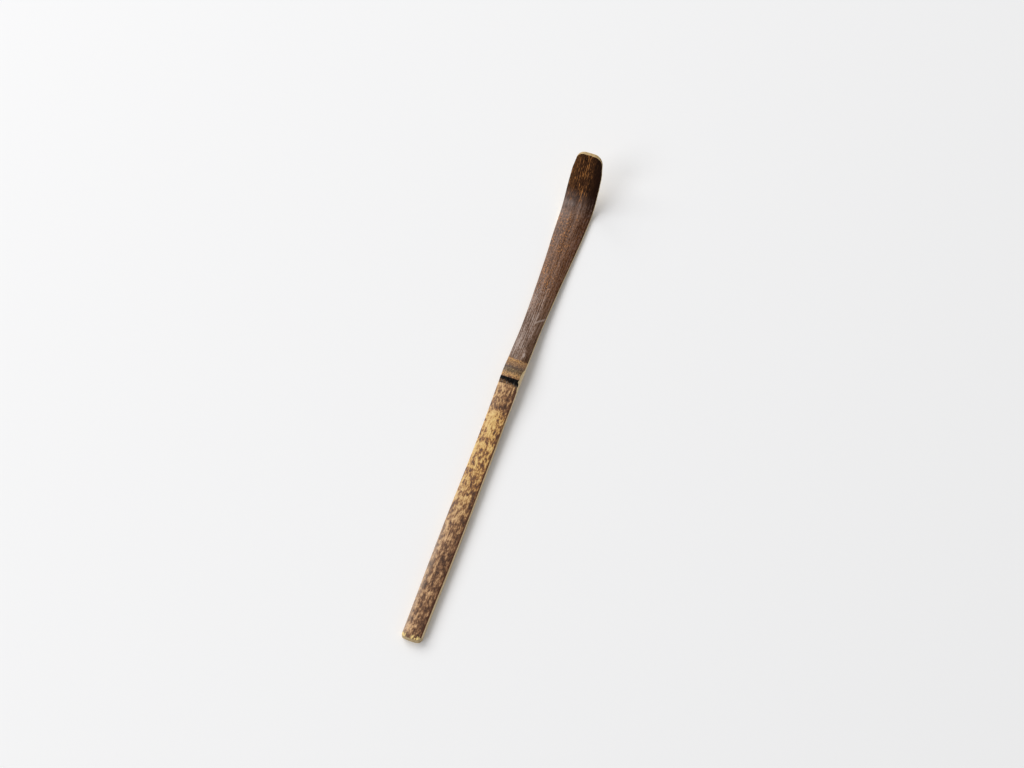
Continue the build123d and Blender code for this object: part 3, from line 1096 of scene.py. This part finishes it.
def smokedFinish():
    finish = Finish("smokedSkin", *smoked["surface"])
    (along, across, depth), vector = finish.strip()
    edge = finish.edge()
    cloud = finish.grain(vector, *smoked["clouds"])
    streak = finish.grain(vector, *smoked["streaks"])
    grit = finish.grain(vector, *smoked["grit"])
    cloudy = cloud - 0.5
    shifted = along + cloudy * 6
    colour = finish.ramp(shifted, 100, 182, smoked["middle"])
    dusk = finish.ramp(shifted, 100, 182, smoked["right"])
    wide = finish.between(along, *smoked["wideFrom"])
    # partly painted shade, partly the skin's own colour: towards the right, away from the light, it
    # turns to the darker ramp
    toRight = finish.between(across + cloudy * 2.4, wide * -0.7, wide * -1.9 - 2.2)
    colour = finish.mix(toRight, colour, dusk)
    # light and dark fibres, broken into short dashes past the neck
    broken = finish.between(along, *smoked["dashesFrom"])
    fibre = streak + (grit - 0.5) * (broken * 0.5 + 0.45)
    blade = finish.between(along + cloudy * 5, *smoked["bladeFrom"])
    darkened = finish.between(fibre, *smoked["darkIn"]) * (1 - blade)
    colour = finish.mix(darkened * smoked["darkShare"], colour, smoked["dark"])
    tarred = finish.between(fibre, *smoked["tarIn"]) * blade
    colour = finish.mix(tarred * smoked["tarShare"], colour, smoked["tar"])
    # painted sheen: the pale lilac fibres crowd on the left near the node, where the skin catches
    # the light; the sparse ones elsewhere are its own pale fibres
    sheenPatch = 1 - finish.between(along + cloudy * 16, *smoked["sheenPatchTo"])
    sheenPatch = sheenPatch * finish.between(across + cloudy * 3, *smoked["sheenPatchAcross"])
    silver = finish.between(fibre, *smoked["silverIn"]) * (sheenPatch * 0.53 + 0.14)
    colour = finish.mix(silver * (1 - blade), colour, smoked["lilac"])
    # orange grains, long ones on the blade
    grain = finish.grain(vector, *smoked["grains"])
    warmth = finish.between(along, *smoked["orangeFrom"])
    warmth = warmth * (1 - finish.between(along, *smoked["orangeTo"]))
    warmth = warmth * (finish.between(across, *smoked["orangeAcross"]) * 0.6 + 0.2)
    warmth = finish.between(grain + cloudy * 0.4, *smoked["orangeIn"]) * warmth
    colour = finish.mix(warmth, colour, smoked["orange"])
    long = finish.grain(vector, *smoked["embers"])
    nearSeam = finish.between(across, -1.4, -0.5) * (1 - finish.between(across, 0.0, 1.2))
    ember = finish.between(long + (grit - 0.5) * 0.1 + nearSeam * 0.05, *smoked["emberIn"])
    ember = ember * finish.between(along, *smoked["embersFrom"])
    ember = ember * finish.between(across, *smoked["emberAcross"])
    colour = finish.mix(ember * smoked["emberShare"], colour, smoked["ember"])
    left = finish.between(across, *smoked["leftAcross"]) * blade
    colour = finish.mix(left * smoked["leftShare"], colour, smoked["orange"])
    # a bare fleck where the bud sat, and a slanting scuff
    out = (along - smoked["fleckAt"][0]) / smoked["fleckSize"][0]
    over = (across - smoked["fleckAt"][1]) / smoked["fleckSize"][1]
    fleck = 1 - finish.between(out * out + over * over + (grit - 0.5) * 1.4, 0.5, 1.2)
    slant = along - smoked["scuffAt"][0] + (across - smoked["scuffAt"][1]) * 0.9 + cloudy * 1.2
    scuff = 1 - finish.between(slant * slant, 0.02, 0.34)
    scuff = scuff * finish.between(across, *smoked["scuffAcross"])
    bare = fleck * smoked["fleckShare"] + scuff * smoked["scuffShare"]
    colour = finish.mix(bare, colour, smoked["lilac"])
    # the bud groove's seam, and painted shade along the right edge, where the skin turns away from
    # the light
    offset = across - smoked["seamAt"] + cloudy * 0.5
    seam = (1 - finish.between(offset, 0.03, 0.16)) * finish.between(offset, -0.16, -0.03)
    seam = seam * finish.between(along, *smoked["seamFrom"])
    seam = seam * (1 - finish.between(along, *smoked["seamTo"]))
    colour = finish.mix(seam * smoked["seamShare"], colour, smoked["seam"])
    rim = 1 - finish.between(edge, *smoked["rimEdge"])
    rim = rim * finish.between(across, *smoked["rimAcross"])
    colour = finish.mix(rim * smoked["rimShare"], colour, smoked["dark"])
    colour = finish.mix(smokeLine(finish, along, across, vector), smoked["node"], colour)
    colour = skinOverFlesh(finish, colour, depth)
    rough = grit * 0.2 + streak * 0.2 + 0.2
    relief = finish.bump(fibre * 0.7 + cloud * 0.4, smoked["relief"])
    # rubbed to a shine where the bend starts, and dull up the blade
    shine = finish.between(along, *smoked["shineFrom"])
    shine = shine * finish.between(across, *smoked["shineAcross"])
    shine = shine * (1 - finish.between(along, *smoked["shineTo"]))
    dull = 1 - finish.between(along, *smoked["glossTo"])
    gloss = finish.between(across, *smoked["glossAcross"]) * 0.4 * dull + shine
    return finish.finish(Base_Color=colour, Roughness=rough, Coat_Weight=gloss, Normal=relief)


print("materials")
woodMaterial = fleshFinish()
endMaterial = endGrainFinish()

gripRind = dict(span=(0.0, node["scarStart"]), layer="rind", rows=380, columns=76, layers=3)
sheathScar = dict(
    span=(node["scarStart"], node["scarEnd"]), layer="rind", rows=40, columns=76, layers=3
)
nodeRidge = dict(span=(node["scarEnd"], node["end"]), layer="rind", rows=80, columns=76, layers=3)
scoopRind = dict(span=(node["end"], skin.length), layer="rind", rows=340, columns=76, layers=3)
culmWood = dict(span=(0.0, skin.length), layer="wood", rows=560, columns=64, layers=8)

finishPiece("gripRind", gripRind, ["grip_rind"], [mottledFinish(), endMaterial])
finishPiece("sheathScar", sheathScar, ["sheath_scar"], [scarFinish(), endMaterial])
finishPiece("nodeRidge", nodeRidge, ["node_ridge"], [nodeFinish(), endMaterial])
finishPiece("scoopRind", scoopRind, ["scoop_rind"], [smokedFinish(), endMaterial])
finishPiece("culmWood", culmWood, ["culm_wood"], [woodMaterial, endMaterial])


# Floor, light and camera
studio = dict(
    floorSize=6.0,
    floorColour=(0.89, 0.89, 0.895, 1.0),
    floorSurface=(0.85, 0.2),
    worldLevel=0.38,
    backdropLevel=0.86,
    windowPower=74.0,
    windowSize=(2.8, 2.05),
    windowFrom=Vector((0.46, 1.0, 1.02)),
    panelPower=21.0,
    panelSize=(1.4, 1.4),
    panelFrom=Vector((-0.52, 0.53, 0.66)),
    lampDistance=3.0,
)


def layFloor():
    sheet = bmesh.new()
    bmesh.ops.create_grid(sheet, x_segments=1, y_segments=1, size=studio["floorSize"] / 2)
    mesh = bpy.data.meshes.new("floor")
    sheet.to_mesh(mesh)
    sheet.free()
    finish = Finish("palePaper", *studio["floorSurface"])
    finish.shader.inputs["Base Color"].default_value = studio["floorColour"]
    mesh.materials.append(finish.material)
    floor = bpy.data.objects.new("floor", mesh)
    bpy.context.scene.collection.objects.link(floor)


def hangLamp(name, power, size, direction):
    lamp = bpy.data.lights.new(name, "AREA")
    lamp.shape = "RECTANGLE"
    lamp.size, lamp.size_y = size
    lamp.energy = power
    stand = bpy.data.objects.new(name, lamp)
    stand.location = direction.normalized() * studio["lampDistance"]
    stand.rotation_mode = "QUATERNION"
    stand.rotation_quaternion = (-stand.location).to_track_quat("-Z", "Y")
    bpy.context.scene.collection.objects.link(stand)


def hangLights():
    # a tall window on the left, and a pale panel before it that shows in the start of the bend
    hangLamp("window", studio["windowPower"], studio["windowSize"], studio["windowFrom"])
    hangLamp("panel", studio["panelPower"], studio["panelSize"], studio["panelFrom"])
    # a grey room, seen as pale paper where it is in view
    world = bpy.data.worlds.new("room")
    world.use_nodes = True
    tree = world.node_tree
    rays = tree.nodes.new("ShaderNodeLightPath")
    level = tree.nodes.new("ShaderNodeMapRange")
    level.inputs["To Min"].default_value = studio["worldLevel"]
    level.inputs["To Max"].default_value = studio["backdropLevel"]
    tree.links.new(rays.outputs["Is Camera Ray"], level.inputs["Value"])
    tree.links.new(level.outputs["Result"], tree.nodes["Background"].inputs["Strength"])
    tree.nodes["Background"].inputs["Color"].default_value = (1.0, 1.0, 1.0, 1.0)
    bpy.context.scene.world = world


# the camera looks down on the strip from beyond its grip end
view = dict(
    lens=70,
    sensor=36,
    nearest=0.01,
    farthest=20,
    heading=math.radians(19.4),
    height=math.radians(65),
    reach=656.2 * mm,
    aim=Vector((93.76, -0.343, 0)) * mm,
)


def placeCamera():
    lens = bpy.data.cameras.new("camera")
    lens.lens, lens.sensor_width = view["lens"], view["sensor"]
    lens.clip_start, lens.clip_end = view["nearest"], view["farthest"]
    camera = bpy.data.objects.new("camera", lens)
    forward = Vector((math.cos(view["heading"]), math.sin(view["heading"]), 0))
    ahead = forward * math.cos(view["height"]) - Vector((0, 0, math.sin(view["height"])))
    right = Vector((math.sin(view["heading"]), -math.cos(view["heading"]), 0))
    turn = Matrix((right, right.cross(ahead), -ahead)).transposed()
    stand = home + view["aim"] - ahead * view["reach"]
    camera.matrix_world = Matrix.Translation(stand) @ turn.to_4x4()
    bpy.context.scene.collection.objects.link(camera)
    bpy.context.scene.camera = camera


layFloor()
hangLights()
placeCamera()
bpy.context.scene.view_settings.view_transform = "Standard"
print("floor, lights and camera")
